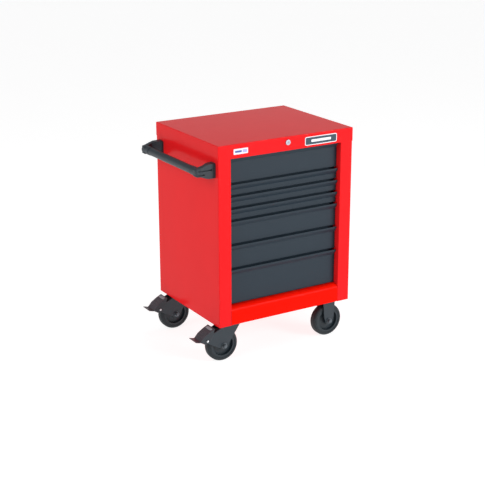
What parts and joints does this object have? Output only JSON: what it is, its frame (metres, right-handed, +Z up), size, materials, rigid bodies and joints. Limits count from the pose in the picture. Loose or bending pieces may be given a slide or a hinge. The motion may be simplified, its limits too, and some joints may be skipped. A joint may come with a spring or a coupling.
{
  "type": "tool cart",
  "caption": "Steel roller cabinet with full-width drawer pulls, a keyed lock, a side push handle, braked swivel casters on the left and rigid casters on the right.",
  "frame": {"origin": "on the floor, under the centre of the whole bounding box", "axes": "+X to the right seen from the front, +Y to the back, +Z up"},
  "size_m": [0.797, 0.567, 0.99],
  "materials": {
    "red_enamel": "gloss",
    "drawer_enamel": "satin",
    "zinc_steel": "satin",
    "black_paint": "satin",
    "moulded_plastic": "matte",
    "lock_chrome": "polished",
    "plate_print": "gloss",
    "label_white": "satin",
    "tyre_rubber": "matte",
    "wheel_poly": "satin"
  },
  "bodies": {
    "cabinet": {"side_panel_left": "red_enamel", "side_panel_right": "red_enamel", "top_panel": "red_enamel", "back_panel": "red_enamel", "kick_plate": "red_enamel", "base_pan": "red_enamel", "slide_uprights": "red_enamel", "slide_outer_channels": "zinc_steel", "handle_bracket_front": "moulded_plastic", "handle_bracket_rear": "moulded_plastic", "handle_grip": "black_paint", "handle_screws": "zinc_steel", "lock_housing": "lock_chrome", "name_plate": "plate_print", "label_plate": "label_white", "caster_bolts": "zinc_steel", "caster_front_left_plate": "black_paint", "caster_rear_left_plate": "black_paint", "caster_front_right_bracket": "black_paint", "caster_rear_right_bracket": "black_paint", "caster_front_right_axle": "zinc_steel", "caster_rear_right_axle": "zinc_steel"},
    "drawer_1": {"drawer_1": "drawer_enamel", "drawer_1_slide_inner": "zinc_steel"},
    "drawer_1_slide": {"drawer_1_slide_middle": "zinc_steel"},
    "drawer_2": {"drawer_2": "drawer_enamel", "drawer_2_slide_inner": "zinc_steel"},
    "drawer_2_slide": {"drawer_2_slide_middle": "zinc_steel"},
    "drawer_3": {"drawer_3": "drawer_enamel", "drawer_3_slide_inner": "zinc_steel"},
    "drawer_3_slide": {"drawer_3_slide_middle": "zinc_steel"},
    "drawer_4": {"drawer_4": "drawer_enamel", "drawer_4_slide_inner": "zinc_steel"},
    "drawer_4_slide": {"drawer_4_slide_middle": "zinc_steel"},
    "drawer_5": {"drawer_5": "drawer_enamel", "drawer_5_slide_inner": "zinc_steel"},
    "drawer_5_slide": {"drawer_5_slide_middle": "zinc_steel"},
    "drawer_6": {"drawer_6": "drawer_enamel", "drawer_6_slide_inner": "zinc_steel"},
    "drawer_6_slide": {"drawer_6_slide_middle": "zinc_steel"},
    "drawer_7": {"drawer_7": "drawer_enamel", "drawer_7_slide_inner": "zinc_steel"},
    "drawer_7_slide": {"drawer_7_slide_middle": "zinc_steel"},
    "lock_plug": {"lock_plug": "lock_chrome"},
    "lock_bar": {"lock_bar": "zinc_steel"},
    "caster_front_left_swivel": {"caster_front_left_fork": "black_paint", "caster_front_left_axle": "zinc_steel"},
    "caster_front_left_wheel": {"caster_front_left_core": "wheel_poly", "caster_front_left_tyre": "tyre_rubber"},
    "caster_front_left_pedal": {"caster_front_left_pedal": "black_paint"},
    "caster_front_right_wheel": {"caster_front_right_core": "wheel_poly", "caster_front_right_tyre": "tyre_rubber"},
    "caster_rear_left_swivel": {"caster_rear_left_fork": "black_paint", "caster_rear_left_axle": "zinc_steel"},
    "caster_rear_left_wheel": {"caster_rear_left_core": "wheel_poly", "caster_rear_left_tyre": "tyre_rubber"},
    "caster_rear_left_pedal": {"caster_rear_left_pedal": "black_paint"},
    "caster_rear_right_wheel": {"caster_rear_right_core": "wheel_poly", "caster_rear_right_tyre": "tyre_rubber"}
  },
  "joints": [
    {"name": "drawer_1_slide", "type": "slide", "parent": "cabinet", "child": "drawer_1", "axis": [0, -1, 0], "range_m": [0, 0.42]},
    {"name": "drawer_1_slide_stage", "type": "slide", "parent": "cabinet", "child": "drawer_1_slide", "axis": [0, -1, 0], "range_m": [0, 0.21]},
    {"name": "drawer_2_slide", "type": "slide", "parent": "cabinet", "child": "drawer_2", "axis": [0, -1, 0], "range_m": [0, 0.42]},
    {"name": "drawer_2_slide_stage", "type": "slide", "parent": "cabinet", "child": "drawer_2_slide", "axis": [0, -1, 0], "range_m": [0, 0.21]},
    {"name": "drawer_3_slide", "type": "slide", "parent": "cabinet", "child": "drawer_3", "axis": [0, -1, 0], "range_m": [0, 0.42]},
    {"name": "drawer_3_slide_stage", "type": "slide", "parent": "cabinet", "child": "drawer_3_slide", "axis": [0, -1, 0], "range_m": [0, 0.21]},
    {"name": "drawer_4_slide", "type": "slide", "parent": "cabinet", "child": "drawer_4", "axis": [0, -1, 0], "range_m": [0, 0.42]},
    {"name": "drawer_4_slide_stage", "type": "slide", "parent": "cabinet", "child": "drawer_4_slide", "axis": [0, -1, 0], "range_m": [0, 0.21]},
    {"name": "drawer_5_slide", "type": "slide", "parent": "cabinet", "child": "drawer_5", "axis": [0, -1, 0], "range_m": [0, 0.42]},
    {"name": "drawer_5_slide_stage", "type": "slide", "parent": "cabinet", "child": "drawer_5_slide", "axis": [0, -1, 0], "range_m": [0, 0.21]},
    {"name": "drawer_6_slide", "type": "slide", "parent": "cabinet", "child": "drawer_6", "axis": [0, -1, 0], "range_m": [0, 0.42]},
    {"name": "drawer_6_slide_stage", "type": "slide", "parent": "cabinet", "child": "drawer_6_slide", "axis": [0, -1, 0], "range_m": [0, 0.21]},
    {"name": "drawer_7_slide", "type": "slide", "parent": "cabinet", "child": "drawer_7", "axis": [0, -1, 0], "range_m": [0, 0.42]},
    {"name": "drawer_7_slide_stage", "type": "slide", "parent": "cabinet", "child": "drawer_7_slide", "axis": [0, -1, 0], "range_m": [0, 0.21]},
    {"name": "lock_turn", "type": "hinge", "parent": "cabinet", "child": "lock_plug", "pos_m": [0.052, -0.2835, 0.9655], "axis": [0, 1, 0], "range_deg": [0, 90]},
    {"name": "lock_bar_lift", "type": "slide", "parent": "cabinet", "child": "lock_bar", "axis": [0, 0, 1], "range_m": [0, 0.01]},
    {"name": "caster_front_left_swivel", "type": "hinge", "parent": "cabinet", "child": "caster_front_left_swivel", "pos_m": [-0.206, -0.221, 0.1755], "axis": [0, 0, 1], "continuous": true},
    {"name": "caster_front_left_roll", "type": "hinge", "parent": "caster_front_left_swivel", "child": "caster_front_left_wheel", "pos_m": [-0.255, -0.221, 0.076], "axis": [0, 1, 0], "continuous": true},
    {"name": "caster_front_left_brake", "type": "hinge", "parent": "caster_front_left_swivel", "child": "caster_front_left_pedal", "pos_m": [-0.3405, -0.221, 0.116], "axis": [0, -1, 0], "range_deg": [0, 14]},
    {"name": "caster_front_right_roll", "type": "hinge", "parent": "cabinet", "child": "caster_front_right_wheel", "pos_m": [0.31, -0.221, 0.076], "axis": [0, 1, 0], "continuous": true},
    {"name": "caster_rear_left_swivel", "type": "hinge", "parent": "cabinet", "child": "caster_rear_left_swivel", "pos_m": [-0.206, 0.225, 0.1755], "axis": [0, 0, 1], "continuous": true},
    {"name": "caster_rear_left_roll", "type": "hinge", "parent": "caster_rear_left_swivel", "child": "caster_rear_left_wheel", "pos_m": [-0.255, 0.225, 0.076], "axis": [0, 1, 0], "continuous": true},
    {"name": "caster_rear_left_brake", "type": "hinge", "parent": "caster_rear_left_swivel", "child": "caster_rear_left_pedal", "pos_m": [-0.3405, 0.225, 0.116], "axis": [0, -1, 0], "range_deg": [0, 14]},
    {"name": "caster_rear_right_roll", "type": "hinge", "parent": "cabinet", "child": "caster_rear_right_wheel", "pos_m": [0.31, 0.225, 0.076], "axis": [0, 1, 0], "continuous": true}
  ],
  "couplings": [
    {"joint": "drawer_1_slide_stage", "follows": "drawer_1_slide", "ratio": 0.5},
    {"joint": "drawer_2_slide_stage", "follows": "drawer_2_slide", "ratio": 0.5},
    {"joint": "drawer_3_slide_stage", "follows": "drawer_3_slide", "ratio": 0.5},
    {"joint": "drawer_4_slide_stage", "follows": "drawer_4_slide", "ratio": 0.5},
    {"joint": "drawer_5_slide_stage", "follows": "drawer_5_slide", "ratio": 0.5},
    {"joint": "drawer_6_slide_stage", "follows": "drawer_6_slide", "ratio": 0.5},
    {"joint": "drawer_7_slide_stage", "follows": "drawer_7_slide", "ratio": 0.5},
    {"joint": "lock_turn", "follows": "lock_bar_lift", "rad_per_m": 157.08}
  ]
}
